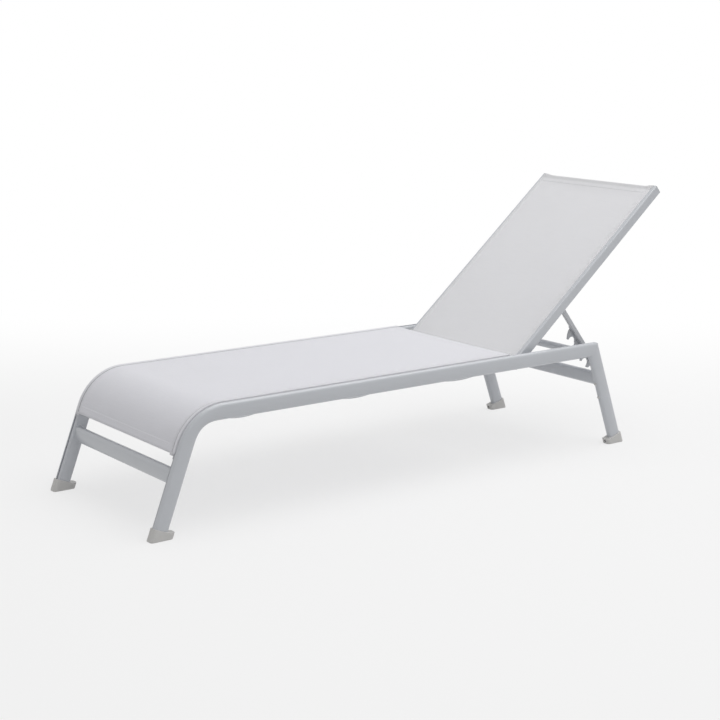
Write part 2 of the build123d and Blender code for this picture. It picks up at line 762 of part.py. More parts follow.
def prop_strut():
    """A flat strut with an eye at its pivot and bevelled edges."""
    straight = strut_length - strut_depth / 2
    outline = Pos(straight / 2, 0) * Rectangle(straight, strut_depth)
    outline += Pos(straight, 0) * Circle(strut_depth / 2)
    outline += Circle(strut_eye_radius)
    bar = extrude(Pos(0, 0, strut_inner) * outline, amount=strut_thickness, dir=(0, 0, 1))
    rims = bar.faces().filter_by(Axis.Z)
    bar = chamfer(rims.edges(), strut_edge_bevel)
    bush_hole = prop_bush_diameter + 2 * running_clearance
    eye = drill(prop_frame, bush_hole, strut_inner - overrun, strut_thickness + 2 * overrun)
    return prop_frame * bar - eye


def claw():
    """One claw about the centre of its notch: a curved horn whose tip is round."""
    ring_radius = notch_radius + claw_tip_thickness / 2
    outer_radius = notch_radius + claw_tip_thickness
    angle = radians(claw_tip_angle)
    tip_centre = (ring_radius * cos(angle), ring_radius * sin(angle))
    tip_outer = (outer_radius * cos(angle), outer_radius * sin(angle))
    root = (claw_root_share[0] * notch_radius, claw_root_share[1] * notch_radius)
    belly = (claw_belly_share[0] * notch_radius, claw_belly_share[1] * notch_radius)
    heel = (root[0], notch_radius + comb_web_front)
    horn = make_face([
        ThreePointArc(root, belly, tip_outer),
        Line(tip_outer, (0, 0)),
        Line((0, 0), (0, heel[1])),
        Line((0, heel[1]), heel),
        Line(heel, root),
    ])
    return horn + Pos(*tip_centre) * Circle(claw_tip_thickness / 2)


def prop_comb():
    """The comb: a plate with a claw over each notch, lapped on the strut's inboard face."""
    first = notch_places[0]
    last = notch_places[-1]
    spine_front = comb_axis_offset - strut_depth / 2 + comb_spine_inset
    spine_back = comb_axis_offset + strut_depth / 2 - comb_spine_inset
    spine_depth = spine_back - spine_front
    spine_length = last + comb_tail - first + comb_head
    spine_middle = (first - comb_head + last + comb_tail) / 2
    outline = Pos(spine_middle, (spine_front + spine_back) / 2) * RectangleRounded(
        spine_length, spine_depth, spine_depth / 2 - comb_spine_inset
    )
    web_start = first - comb_web_head
    web_end = last + comb_tail
    web_depth = spine_front + comb_spine_inset - comb_web_front
    outline += Pos((web_start + web_end) / 2, comb_web_front + web_depth / 2) * Rectangle(
        web_end - web_start, web_depth
    )
    nose_centre = (comb_nose_along, comb_nose_front + comb_nose_radius)
    outline += Pos(*nose_centre) * Circle(comb_nose_radius)
    outline += Pos(nose_centre[0], (nose_centre[1] + spine_front) / 2) * Rectangle(
        2 * comb_nose_radius, spine_front - nose_centre[1]
    )
    for place in notch_places:
        outline += Pos(place, 0) * claw()
    for place in notch_places:
        outline -= Pos(place, 0) * Circle(notch_radius)
    plate = extrude(Pos(0, -comb_axis_offset, comb_inner) * outline, amount=comb_thickness, dir=(0, 0, 1))
    return prop_frame * plate


def both_sides(name, shape):
    """A piece of the left side and its mirror image on the right."""
    return {name + "_left": shape, name + "_right": mirror(shape, about=Plane.XZ)}


def pair(shape):
    """A piece and its mirror image as separate solids of one node."""
    return Compound(children=shape.solids() + mirror(shape, about=Plane.XZ).solids())


def build():
    """Every node of the lounge by name."""
    side_outer = side_tube(0, tube_foot_up)
    rear_outer = rear_tube(0, tube_foot_up)
    rails_only = split(side_outer, mitre_plane(0), Keep.BOTTOM)
    legs_only = split(rear_outer, mitre_plane(0), Keep.TOP)
    sides = [rails_only, legs_only, mirror(rails_only, about=Plane.XZ), mirror(legs_only, about=Plane.XZ)]
    back_outer = back_frame * Pos(-back_rail_plane, 0, -back_tail) * extrude(
        RectangleRounded(back_tube_width, back_tube_depth, back_tube_radius),
        amount=back_length + back_tail,
        dir=(0, 0, 1),
    )
    back_outers = [back_outer, mirror(back_outer, about=Plane.XZ)]

    parts = {}
    parts.update(both_sides("side_rail", side_rail(side_outer)))
    parts.update(both_sides("rear_leg", rear_leg(rear_outer)))
    front_x = front_stretcher_height * tan(front_lean)
    rear_x = foot_spacing - rear_stretcher_height * tan(rear_lean)
    parts["front_stretcher"] = stretcher(front_x, front_stretcher_height, front_stretcher_depth, sides)
    parts["rear_stretcher"] = stretcher(rear_x, rear_stretcher_height, rear_stretcher_depth, sides)
    for i, place in enumerate(seat_bar_names):
        parts["seat_bar_" + place] = seat_bar(seat_bar_first + i * seat_bar_pitch, sides)
    parts["catch_bar"] = catch_bar(sides)
    parts.update(both_sides("foot_cap_front", foot_cap(True)))
    parts.update(both_sides("foot_cap_rear", foot_cap(False)))
    parts["foot_screws"] = pair(Compound(children=[foot_screw(True), foot_screw(False)]))
    buttons = [leg_button(height, rear_outer) for height in button_heights]
    parts["leg_buttons"] = pair(Compound(children=buttons))

    parts["seat_sling"] = seat_sling()
    parts.update(both_sides("seat_welt", seat_welt()))
    parts["channel_stops"] = pair(channel_stop())

    parts.update(both_sides("back_rail", back_rail()))
    parts["back_top_bar"] = back_bar(True, back_outers)
    parts["back_lower_bar"] = back_bar(False, back_outers)
    parts["back_sling"] = back_sling()
    parts.update(both_sides("back_welt", back_welt()))
    parts.update(both_sides("back_cap_top", back_end_cap(True)))
    parts.update(both_sides("back_cap_low", back_end_cap(False)))

    parts.update(both_sides("hinge_bolt", hinge_bolt()))
    parts["hinge_inserts"] = pair(hinge_insert())
    parts.update(both_sides("hinge_spacer", hinge_spacer(side_outer)))
    parts.update(both_sides("hinge_bush", hinge_bush()))

    parts.update(both_sides("prop_strut", prop_strut()))
    parts.update(both_sides("prop_comb", prop_comb()))
    parts.update(both_sides("prop_bolt", prop_bolt()))
    parts.update(both_sides("prop_bush", prop_bush()))
    parts["prop_washers"] = pair(prop_washer())
    parts["prop_inserts"] = pair(prop_insert())
    return parts


def main():
    """Move the lounge over its own middle and write each node."""
    parts = build()
    boxes = [shape.bounding_box() for shape in parts.values()]
    middle_x = (min(box.min.X for box in boxes) + max(box.max.X for box in boxes)) / 2
    home = Pos(-middle_x, 0, 0)
    print("origin moved by", round(-middle_x, 4))
    print("hinge", round(hinge_x - middle_x, 4), round(hinge_height, 4))
    print("prop pivot", round(pivot_x - middle_x, 4), round(pivot_height, 4))
    print("strut bearing", round(degrees(strut_bearing), 4), "notches along", notch_places)
    os.makedirs("parts", exist_ok=True)
    for name, shape in parts.items():
        export_step(home * shape, "parts/" + name + ".step")


main()
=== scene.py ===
"""The looks of a sling chaise lounge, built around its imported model. Lengths are in metres."""

import json
import math

import bmesh
import bpy
from mathutils import Matrix, Vector
from mathutils.bvhtree import BVHTree


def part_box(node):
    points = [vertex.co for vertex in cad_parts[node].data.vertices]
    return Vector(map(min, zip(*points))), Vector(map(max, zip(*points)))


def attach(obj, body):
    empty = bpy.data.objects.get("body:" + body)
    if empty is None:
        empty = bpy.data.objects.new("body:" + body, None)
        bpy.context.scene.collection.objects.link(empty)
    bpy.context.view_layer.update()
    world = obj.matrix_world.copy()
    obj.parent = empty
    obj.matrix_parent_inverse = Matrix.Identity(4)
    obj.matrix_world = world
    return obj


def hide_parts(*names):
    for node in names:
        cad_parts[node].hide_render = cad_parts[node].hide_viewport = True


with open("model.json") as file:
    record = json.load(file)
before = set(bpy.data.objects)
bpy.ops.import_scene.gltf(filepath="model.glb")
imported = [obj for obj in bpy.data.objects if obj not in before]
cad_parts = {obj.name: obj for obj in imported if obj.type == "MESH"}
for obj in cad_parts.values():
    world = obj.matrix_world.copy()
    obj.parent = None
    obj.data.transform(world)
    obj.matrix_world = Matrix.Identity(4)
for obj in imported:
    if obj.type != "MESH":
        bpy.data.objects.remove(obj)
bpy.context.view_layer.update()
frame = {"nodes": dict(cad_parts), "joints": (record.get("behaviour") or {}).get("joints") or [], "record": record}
nodes = frame["nodes"]
MM = 0.001

# The side frames that the seat's sheet follows
rail_top = 358 * MM
side_tube_depth = 48 * MM
side_inner = 285 * MM
front_leg_lean = math.radians(20.82)
bend_radius = 154 * MM
slot_width = 4.8 * MM
seat_slot_y = 294 * MM
seat_rear_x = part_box("seat_sling")[1].x
seat_front_up = 240 * MM
front_leg_to_hinge = 1345.98 * MM

# The back frame at rest
joint_place = {joint["name"]: joint["pos_m"] for joint in frame["joints"]}
hinge_x = joint_place["back_recline"][0]
hinge_z = joint_place["back_recline"][2]
front_leg_axis_x = hinge_x - front_leg_to_hinge
back_tilt = math.radians(40)
back_slot_y = 261.5 * MM
back_crown = 16 * MM
back_bar_low = -20.5 * MM
back_bar_high = 777.5 * MM

# The sleeves round the back's bars, and the corners where the cloth leaves them for the side tubes
sleeve_half = 244 * MM
sleeve_radius = 11.7 * MM
sleeve_tail = 14 * MM
sleeve_offset = back_crown - 11.3 * MM
sleeve_to_rail = 10 * MM
corner_turn = math.radians(58)
corner_end = math.radians(130)
corner_width = 30 * MM
corner_shares = (-2, -1.4, -0.8, -0.4, 0, 0.4, 0.8)

# Cloth: one layer, doubled at its hems
cloth_thickness = 0.8 * MM
seat_cloth_top = 1.3 * MM
back_cloth_top = 1.1 * MM
side_hem = 16 * MM
end_hem = 24 * MM
hem_rise = 0.06 * MM
hem_blend = 0.6 * MM
end_hem_blend = 6 * MM

# How the sheets sag between their edges, less towards their ends, and how uneven they are
seat_sag = 3 * MM
seat_end_sag_share = 0.55
seat_sag_reach = 120 * MM
back_sag = 3 * MM
back_end_sag = 0.2 * MM
back_sag_reach_share = 0.08
back_bar_dip = 0.2 * MM
back_sleeve_level = 0.2 * MM
ripple_size = 0.35 * MM
ripple_waves = ((7.1, 3.7), (-2.9, 9.3))
ripple_side_fade = 60 * MM
ripple_end_fade = 40 * MM

# A sheet's edge: its tab in the slot, its lip, and on the seat a raised roll and a seam's crease
slot_margin = 0.1 * MM
tab_depth = 3.2 * MM
seat_lip_radius = 2.2 * MM
back_lip_radius = 1.7 * MM
lip_shares = (0, 0.35, 0.7, 1)
roll_width = 10 * MM
roll_rise = 2.3 * MM
crease_depth = 3.4 * MM
crease_width = 1.5 * MM

# Seams and their thread
seam_inset = 3 * MM
side_seam_inset = 0.6 * MM
# The width of the line of painted shade along the seat's crease
crease_shade_width = 2 * MM
stitch_pitch = 4.4 * MM
stitch_length = 3.5 * MM
stitch_width = 0.75 * MM
stitch_lift = 0.12 * MM
stitch_margin = 2 * MM
stitch_sides = 6
stitch_rings = ((-0.5, 0.25), (-0.38, 0.8), (0, 1), (0.38, 0.8), (0.5, 0.25))
hem_end_size = (17 * MM, 10 * MM, 3 * MM)
hem_end_below = 5 * MM
hem_end_segments = 3

# Fineness of the sheets: distances from the edge in mm, and steps along and across
edge_steps = (3, 4.5, 6, 7.5, 8.6, 9.4, 10, 10.5, 11, 11.5, 12, 12.5, 13, 13.6, 14.4, 15.4, 16.6)
lip_to_step = 0.5 * MM
middle_steps = 18
least_across = 0.35 * MM
face_step = 9 * MM
wrap_step = 2.5 * MM
tail_step = 7 * MM
seam_step = 1 * MM
seam_steps = 3
least_along = 0.3 * MM

# Painted shade on the cloth over a bar and along the seat's crease, and how much light it lets through
sleeve_painted_shade = 0.14
crease_painted_shade = 0.4
translucence = 0.22

# Welds
stretcher_bead = 1.7 * MM
bar_bead = 1.3 * MM
weld_points = 96
weld_missing = 8
weld_sides = 8
weld_ripple = 0.16
weld_ripple_points = 4
weld_backset = 9 * MM
weld_lift = 0.4 * MM
wall_reach = 40 * MM
skin_reach = 90 * MM
box_clearance = 50 * MM

# The seat's hem hugs the inboard wall of its slot, which leaves a dark groove outboard of it.
# The back's hem fills its slot as far as the outboard wall.
seat_cloth_y = seat_slot_y - slot_width / 2 + 2 * cloth_thickness + slot_margin
back_cloth_y = back_slot_y + slot_width / 2 - slot_margin
# The line of painted shade along the crease inboard of the seat's roll
seat_crease_shade_y = seat_cloth_y - roll_width - crease_width

# Where the back sheet leaves its flat face for the bars, and where the bands of painted shade over the bars lie
back_sleeve_length = sleeve_tail + math.pi * sleeve_radius
back_face_length = back_bar_high - back_bar_low
bar_shade_start = 14 * MM
bar_shade_full = 4 * MM
back_bar_shade_bands = (
    (back_sleeve_length + bar_shade_start, back_sleeve_length + bar_shade_full),
    (
        back_sleeve_length + back_face_length - bar_shade_start,
        back_sleeve_length + back_face_length - bar_shade_full,
    ),
)


# Shader helpers

def new_material(name):
    """A material with its node tree and its principled shader."""
    material = bpy.data.materials.new(name)
    material.use_nodes = True
    tree = material.node_tree
    return material, tree, tree.nodes["Principled BSDF"]


def node(tree, kind, inputs=None, **settings):
    """A shader node with its settings, and its inputs set to values or linked to sockets."""
    made = tree.nodes.new(kind)
    for key, value in settings.items():
        setattr(made, key, value)
    for key, value in (inputs or {}).items():
        if isinstance(value, bpy.types.NodeSocket):
            tree.links.new(value, made.inputs[key])
        else:
            made.inputs[key].default_value = value
    return made


def calc(tree, operation, *values):
    """The result of a math node on one or two values."""
    return node(tree, "ShaderNodeMath", dict(enumerate(values)), operation=operation).outputs[0]


def remap(tree, value, source, target, curve="LINEAR"):
    """A value carried from one range to another, each given by its two ends."""
    made = node(tree, "ShaderNodeMapRange", {
        "Value": value, "From Min": source[0], "From Max": source[1],
        "To Min": target[0], "To Max": target[1],
    }, interpolation_type=curve)
    return made.outputs["Result"]


def place_of(tree):
    """Rest coordinates of a piece, in metres."""
    return node(tree, "ShaderNodeTexCoord").outputs["Object"]


def noise(tree, scale, detail):
    """Noise over a piece's rest coordinates."""
    made = node(tree, "ShaderNodeTexNoise", {
        "Vector": place_of(tree), "Scale": scale, "Detail": detail,
    })
    return made.outputs["Fac"]


def relief(tree, shader, height, strength, distance, edge_radius=None):
    """Fine relief on a surface, and rounded edges where a radius is given."""
    inputs = {"Height": height, "Strength": strength, "Distance": distance}
    if edge_radius is not None:
        edge = node(tree, "ShaderNodeBevel", {"Radius": edge_radius}, samples=4)
        inputs["Normal"] = edge.outputs["Normal"]
    bump = node(tree, "ShaderNodeBump", inputs)
    tree.links.new(bump.outputs["Normal"], shader.inputs["Normal"])


def vary_gloss(tree, shader, value, smoothest, roughest):
    """A roughness that follows a value of 0 to 1."""
    tree.links.new(remap(tree, value, (0, 1), (smoothest, roughest)), shader.inputs["Roughness"])


def colour(value):
    """An opaque colour from three sRGB values of 0 to 255."""
    linear = []
    for part in value:
        share = part / 255
        linear.append(share / 12.92 if share <= 0.04045 else ((share + 0.055) / 1.055) ** 2.4)
    return (*linear, 1)


def mottled(tree, base, scale, spread):
    """A colour that drifts a little over the surface."""
    dark = tuple(part * (1 - spread) for part in base[:3]) + (1,)
    light = tuple(min(1, part * (1 + spread)) for part in base[:3]) + (1,)
    mix = node(tree, "ShaderNodeMix", {
        "Factor": noise(tree, scale, detail=3), "A": dark, "B": light,
    }, data_type="RGBA")
    return mix.outputs["Result"]


def shaded(tree, tone, shade):
    """A colour made darker or lighter by a value."""
    made = node(tree, "ShaderNodeVectorMath", {0: tone, 1: shade}, operation="MULTIPLY")
    return made.outputs["Vector"]


def seen_by_camera(tree):
    """1 for what the camera sees, also in gloss and through glass, and 0 for light sent on."""
    rays = node(tree, "ShaderNodeLightPath").outputs
    glossy = calc(tree, "MAXIMUM", rays["Is Camera Ray"], rays["Is Glossy Ray"])
    return calc(tree, "MAXIMUM", glossy, rays["Is Transmission Ray"])


# Materials

def powder_coat(name, base, roughness=0.3, peel=0.1):
    """Satin powder coat: a fine orange peel, soft edges and a faint drift of tone."""
    material, tree, shader = new_material(name)
    grain = noise(tree, scale=520, detail=2)
    fleck = noise(tree, scale=2600, detail=1)
    shade = remap(tree, fleck, source=(0.3, 0.7), target=(0.97, 1.02))
    tone = shaded(tree, mottled(tree, base, scale=9, spread=0.025), shade)
    tree.links.new(tone, shader.inputs["Base Color"])
    relief(tree, shader, grain, peel, distance=0.25 * MM, edge_radius=0.5 * MM)
    vary_gloss(tree, shader, grain, roughness - 0.05, roughness + 0.07)
    shader.inputs["Specular IOR Level"].default_value = 0.5
    shader.inputs["Coat Weight"].default_value = 0.5
    shader.inputs["Coat Roughness"].default_value = 0.14
    return material


def moulded(name, base, roughness=0.55, grain_depth=0.12, grain_scale=900):
    """Moulded plastic with a spark-eroded grain."""
    material, tree, shader = new_material(name)
    tone = mottled(tree, base, scale=30, spread=0.03)
    tree.links.new(tone, shader.inputs["Base Color"])
    cells = node(tree, "ShaderNodeTexVoronoi", {"Vector": place_of(tree), "Scale": grain_scale})
    grain = cells.outputs["Distance"]
    relief(tree, shader, grain, grain_depth, distance=0.2 * MM, edge_radius=0.4 * MM)
    vary_gloss(tree, shader, grain, roughness - 0.06, roughness + 0.06)
    return material


def steel(name, base, roughness=0.32):
    """Plain steel with a fine grain."""
    material, tree, shader = new_material(name)
    shader.inputs["Metallic"].default_value = 1
    tone = mottled(tree, base, scale=60, spread=0.04)
    tree.links.new(tone, shader.inputs["Base Color"])
    grain = noise(tree, scale=1500, detail=2)
    relief(tree, shader, grain, strength=0.08, distance=0.1 * MM)
    vary_gloss(tree, shader, grain, roughness - 0.08, roughness + 0.1)
    return material


def ridge(tree, value, pitch):
    """A round ridge for each yarn: the absolute sine of a coordinate."""
    return calc(tree, "ABSOLUTE", calc(tree, "SINE", calc(tree, "MULTIPLY", value, math.pi / pitch)))


def woven(name, base, shade_bands=(), line_y=None, pitch=1.25 * MM, roughness=0.62):
    """Coated yarn in a plain weave: each yarn passes over and under, with small dark openings.

    Beyond the lengths given as sleeves the colour is darkened a little as painted shade for the bar behind the
    mesh, and a thin line along each side is darkened as painted shade for the crease there."""
    material, tree, shader = new_material(name)
    uv = node(tree, "ShaderNodeUVMap", uv_map="cloth").outputs["UV"]
    split = node(tree, "ShaderNodeSeparateXYZ", {0: uv}).outputs
    across = ridge(tree, split["X"], pitch)
    along = ridge(tree, split["Y"], pitch)
    checker = node(tree, "ShaderNodeTexChecker", {"Vector": uv, "Scale": 1 / pitch})
    over = node(tree, "ShaderNodeMix", {
        "Factor": checker.outputs["Fac"], "A": across, "B": along,
    }).outputs["Result"]
    both = calc(tree, "MAXIMUM", across, along)
    gap = remap(tree, both, source=(0.1, 0.6), target=(0.9, 1))
    streaks = node(tree, "ShaderNodeVectorMath", {0: uv, 1: (14, 420, 1)}, operation="MULTIPLY")
    slub = node(tree, "ShaderNodeTexNoise", {
        "Vector": streaks.outputs[0], "Scale": 1, "Detail": 2,
    }).outputs["Fac"]
    yarn = remap(tree, slub, source=(0.3, 0.7), target=(0.985, 1.01))
    shade = calc(tree, "MULTIPLY", gap, yarn)
    # Painted shade over the bars, beyond the given lengths
    for clear, shade_full in shade_bands:
        bar_shade = remap(tree, split["Y"], (clear, shade_full), (1, 1 - sleeve_painted_shade), "SMOOTHSTEP")
        shade = calc(tree, "MULTIPLY", shade, bar_shade)
    # Painted shade along each side: a darker line over the crease
    if line_y is not None:
        sideways = node(tree, "ShaderNodeSeparateXYZ", {0: place_of(tree)}).outputs["Y"]
        beside = calc(tree, "ADD", calc(tree, "ABSOLUTE", sideways), -line_y)
        line = remap(
            tree, calc(tree, "ABSOLUTE", beside),
            (crease_shade_width / 2, crease_shade_width), (1 - crease_painted_shade, 1), "SMOOTHSTEP",
        )
        shade = calc(tree, "MULTIPLY", shade, line)
    tone = shaded(tree, mottled(tree, base, scale=5, spread=0.012), shade)
    tree.links.new(tone, shader.inputs["Base Color"])
    relief(tree, shader, calc(tree, "ADD", over, both), strength=0.35, distance=0.2 * MM)
    shader.inputs["Roughness"].default_value = roughness
    shader.inputs["Sheen Weight"].default_value = 0.08
    through = node(tree, "ShaderNodeBsdfTranslucent", {"Color": tone})
    mixed = node(tree, "ShaderNodeMixShader", {
        0: translucence, 1: shader.outputs[0], 2: through.outputs[0],
    })
    tree.links.new(mixed.outputs[0], tree.nodes["Material Output"].inputs["Surface"])
    return material


frame_paint = powder_coat("frame_paint", colour((200, 203, 208)))
prop_paint = powder_coat("prop_paint", colour((194, 196, 200)), roughness=0.38)
# The seat's cloth, with a line of painted shade along its crease
seat_cloth = woven("seat_cloth", colour((243, 243, 247)), line_y=seat_crease_shade_y)
# The back's cloth, with painted shade over its bars
back_cloth = woven("back_cloth", colour((245, 245, 247)), back_bar_shade_bands)
thread = moulded(
    "thread", colour((221, 221, 225)), roughness=0.7, grain_depth=0.3, grain_scale=2500,
)
welt_plastic = moulded("welt_plastic", colour((170, 171, 172)))
foot_plastic = moulded("foot_plastic", colour((206, 205, 203)))
cap_plastic = moulded("cap_plastic", colour((178, 180, 184)), roughness=0.45)
nylon = moulded("nylon", colour((214, 213, 208)), roughness=0.5)
fastener_steel = steel("fastener_steel", colour((176, 177, 180)))
dark_steel = steel("dark_steel", colour((92, 92, 94)), roughness=0.45)

material_of_slot = {
    "frame_paint": frame_paint,
    "seat_fabric": seat_cloth,
    "back_fabric": back_cloth,
    "welt_cord": welt_plastic,
    "foot_plastic": foot_plastic,
    "cap_plastic": cap_plastic,
    "bearing_plastic": nylon,
    "fastener_steel": fastener_steel,
}
for part in frame["record"]["subparts"]:
    chosen = material_of_slot[part["material_slot"]]
    if part["node"].startswith(("prop_strut", "prop_comb")):
        chosen = prop_paint
    if part["node"] == "foot_screws":
        chosen = dark_steel
    for place in nodes[part["node"]].material_slots:
        place.material = chosen


# Mesh helpers

def add_piece(name, builder, material, body):
    """A mesh object that rides on a body and takes its finish from a material slot."""
    mesh = bpy.data.meshes.new(name)
    builder.to_mesh(mesh)
    builder.free()
    piece = bpy.data.objects.new(name, mesh)
    bpy.context.scene.collection.objects.link(piece)
    mesh.materials.append(material)
    mesh.polygons.foreach_set("use_smooth", [True] * len(mesh.polygons))
    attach(piece, body)
    return piece


def join_rings(builder, lower, upper):
    """A band of faces between two rings of points."""
    count = len(lower)
    for i in range(count):
        following = (i + 1) % count
        builder.faces.new((lower[i], lower[following], upper[following], upper[i]))


def smoothstep(value):
    """An even ramp from 0 to 1."""
    value = min(1, max(0, value))
    return value * value * (3 - 2 * value)


def doubled(inside):
    """How far a hem's second layer is there, from the distance inside the hem."""
    return smoothstep((inside + hem_blend) / (2 * hem_blend))


# Paths of the two sheets: place, direction and outward normal in the XZ plane at each length

class SeatPath:
    """The crown line of the side frames, from the front leg round the bend to the sheet's end."""

    def __init__(self):
        lean = front_leg_lean
        half = side_tube_depth / 2
        self.up = Vector((math.sin(lean), 0, math.cos(lean)))
        self.out = Vector((-math.cos(lean), 0, math.sin(lean)))
        corner_up = (rail_top - half * math.sin(lean)) / math.cos(lean)
        tangent = bend_radius * math.tan((math.pi / 2 - lean) / 2)
        foot = Vector((front_leg_axis_x, 0, 0))
        self.start = foot + self.up * seat_front_up + self.out * half
        self.leg_length = corner_up - tangent - seat_front_up
        self.turn = math.pi / 2 - lean
        self.arc_length = bend_radius * self.turn
        bend_start = self.start + self.up * self.leg_length
        self.centre = bend_start - self.out * bend_radius
        self.rail_length = seat_rear_x - self.centre.x
        self.length = self.leg_length + self.arc_length + self.rail_length

    def at(self, along):
        """Place, direction and normal at a length along the path."""
        if along <= self.leg_length:
            return self.start + self.up * along, self.up, self.out
        past = along - self.leg_length
        if past <= self.arc_length:
            angle = front_leg_lean + past / bend_radius
            direction = Vector((math.sin(angle), 0, math.cos(angle)))
            normal = Vector((-math.cos(angle), 0, math.sin(angle)))
            return self.centre + normal * bend_radius, direction, normal
        past -= self.arc_length
        top = self.centre + Vector((past, 0, bend_radius))
        return top, Vector((1, 0, 0)), Vector((0, 0, 1))

    def spread(self, along, across):
        """Place and normal at a length along the path, the same over the whole width."""
        place, _, normal = self.at(along)
        return place, normal


class BackPath:
    """Round the lower bar, up the face of the back and round the top bar."""

    def __init__(self):
        self.direction = Vector((math.cos(back_tilt), 0, math.sin(back_tilt)))
        self.normal = Vector((-math.sin(back_tilt), 0, math.cos(back_tilt)))
        self.origin = Vector((hinge_x, 0, hinge_z))
        self.half_turn = math.pi * sleeve_radius
        self.wrap = back_sleeve_length
        self.face_length = back_face_length
        self.length = self.face_length + 2 * self.wrap

    def point(self, along, out):
        """A point of the back frame's middle plane."""
        return self.origin + self.direction * along + self.normal * out

    def at(self, along):
        """Place, direction and normal at a length from the end of the lower sleeve."""
        if self.wrap <= along <= self.wrap + self.face_length:
            place = self.point(back_bar_low + along - self.wrap, sleeve_offset + sleeve_radius)
            return place, self.direction, self.normal
        at_top = along > self.wrap
        past = along - self.wrap - self.face_length if at_top else self.wrap - along
        bar = back_bar_high if at_top else back_bar_low
        turn = 1 if at_top else -1
        if past <= self.half_turn:
            angle = past / sleeve_radius
            normal = self.normal * math.cos(angle) + self.direction * turn * math.sin(angle)
            direction = self.direction * math.cos(angle) - self.normal * turn * math.sin(angle)
            centre = self.point(bar, sleeve_offset)
            return centre + normal * sleeve_radius, direction, normal
        past -= self.half_turn
        place = self.point(bar - turn * past, sleeve_offset - sleeve_radius)
        return place, -self.direction, -self.normal

    def spread(self, along, across):
        """Place and normal: round the bar in the sleeve, and flat over the side tubes."""
        place, _, normal = self.at(along)
        past = max(self.wrap - along, along - self.wrap - self.face_length)
        beyond = abs(across) - sleeve_half - sleeve_to_rail
        flat = smoothstep((beyond + corner_width) / corner_width)
        flat *= 1 - smoothstep((past / sleeve_radius - corner_turn) / (corner_end - corner_turn))
        if flat > 0 and past > 0:
            drop = sleeve_offset + sleeve_radius - (place - self.origin).dot(self.normal)
            place = place + self.normal * drop * flat
            normal = normal.lerp(self.normal, flat).normalized()
        return place, normal


# Sections of the sheets

def ripple(along, across):
    """The slight unevenness of a tensioned sheet."""
    wave = 1
    for along_rate, across_rate in ripple_waves:
        wave *= math.sin(along * along_rate + across * across_rate)
    return ripple_size * wave


def cross_places(slot_y, lip_radius, extra):
    """Places across half a sheet, outer ones first: close together at its edge and given places."""
    steps = [step * MM for step in edge_steps if step * MM > lip_radius + lip_to_step]
    outer = [slot_y - step for step in steps]
    middle = [outer[-1] * (1 - step / middle_steps) for step in range(1, middle_steps)]
    kept = []
    for place in sorted(set(outer + middle + list(extra)), reverse=True):
        if not kept or kept[-1] - place > least_across:
            kept.append(place)
        elif place in extra:
            kept[-1] = place
    return kept


def half_profile(slot_y, top, lip_radius, roll, sag, extra):
    """Half of a sheet's section from its edge inwards, as (across, height, hem share)."""
    half = [(slot_y, -tab_depth, 0), (slot_y, -tab_depth / 2, 0)]
    for share in lip_shares:
        angle = share * math.pi / 2
        half.append((
            slot_y - lip_radius * (1 - math.cos(angle)),
            top + roll * roll_rise - lip_radius * (1 - math.sin(angle)),
            0.0 if share < 1 else 1.0,
        ))
    for across in cross_places(slot_y, lip_radius, extra):
        inward = slot_y - across
        hem = doubled(across - (slot_y - side_hem))
        crown = max(0, 1 - ((inward - lip_radius) / (roll_width - lip_radius)) ** 2)
        crease = math.exp(-((inward - roll_width - crease_width) / crease_width) ** 2)
        level = top - sag * (1 - (across / slot_y) ** 2)
        level += hem_rise * hem + roll * (roll_rise * crown - crease_depth * crease)
        half.append((across, level, hem))
    return half


def sheet_profile(half, slot_y, lip_radius, centre, along, path_length, end_share):
    """A sheet's whole section at a length along it, uneven, and doubled where it ends in a hem."""
    profile = [(-across, level, hem) for across, level, hem in half]
    profile += [(0, centre, 0)] + half[::-1]
    from_ends = smoothstep(along / ripple_end_fade)
    from_ends *= smoothstep((path_length - along) / ripple_end_fade)
    shaped = []
    for across, level, hem in profile:
        fade = smoothstep((slot_y - abs(across)) / ripple_side_fade) * from_ends
        inside = smoothstep((slot_y - lip_radius - abs(across)) / end_hem_blend)
        level += ripple(along, across) * fade + hem_rise * end_share * inside
        shaped.append((across, level, max(hem, end_share * inside)))
    return shaped


seat_path = SeatPath()
back_path = BackPath()


def seat_profile(along):
    """The seat sheet's section, its sag growing from each end hem."""
    from_end = min(along, seat_path.length - along)
    grow = smoothstep(from_end / seat_sag_reach)
    sag = seat_sag * (seat_end_sag_share + (1 - seat_end_sag_share) * grow)
    half = half_profile(seat_cloth_y, seat_cloth_top, seat_lip_radius, 1, sag, ())
    return sheet_profile(
        half, seat_cloth_y, seat_lip_radius, seat_cloth_top - sag, along, seat_path.length,
        doubled(end_hem - from_end),
    )


def back_profile(along):
    """The back sheet's section: flat at the bars, sagging between them, doubled in its sleeves."""
    place = along - back_path.wrap
    from_bar = min(place, back_path.face_length - place)
    grow = smoothstep(from_bar / (back_sag_reach_share * back_path.face_length))
    sag = back_end_sag + (back_sag - back_end_sag) * grow
    extra = tuple(sleeve_half + share * sleeve_to_rail for share in corner_shares)
    half = half_profile(back_cloth_y, back_cloth_top, back_lip_radius, 0, sag, extra)
    profile = sheet_profile(
        half, back_cloth_y, back_lip_radius, back_cloth_top - sag, along, back_path.length,
        doubled(end_hem - from_bar),
    )
    if from_bar >= 0:
        return [(across, level - (1 - grow) * back_bar_dip, hem) for across, level, hem in profile]
    return [
        (across, back_sleeve_level if abs(across) <= sleeve_half else level, hem)
        for across, level, hem in profile
    ]


def back_keep(along, across):
    """Only the middle of the back sheet runs all the way round the bars."""
    place = along - back_path.wrap
    beyond = corner_turn * sleeve_radius
    return abs(across) < sleeve_half or -beyond <= place < back_path.face_length + beyond


# The sheets

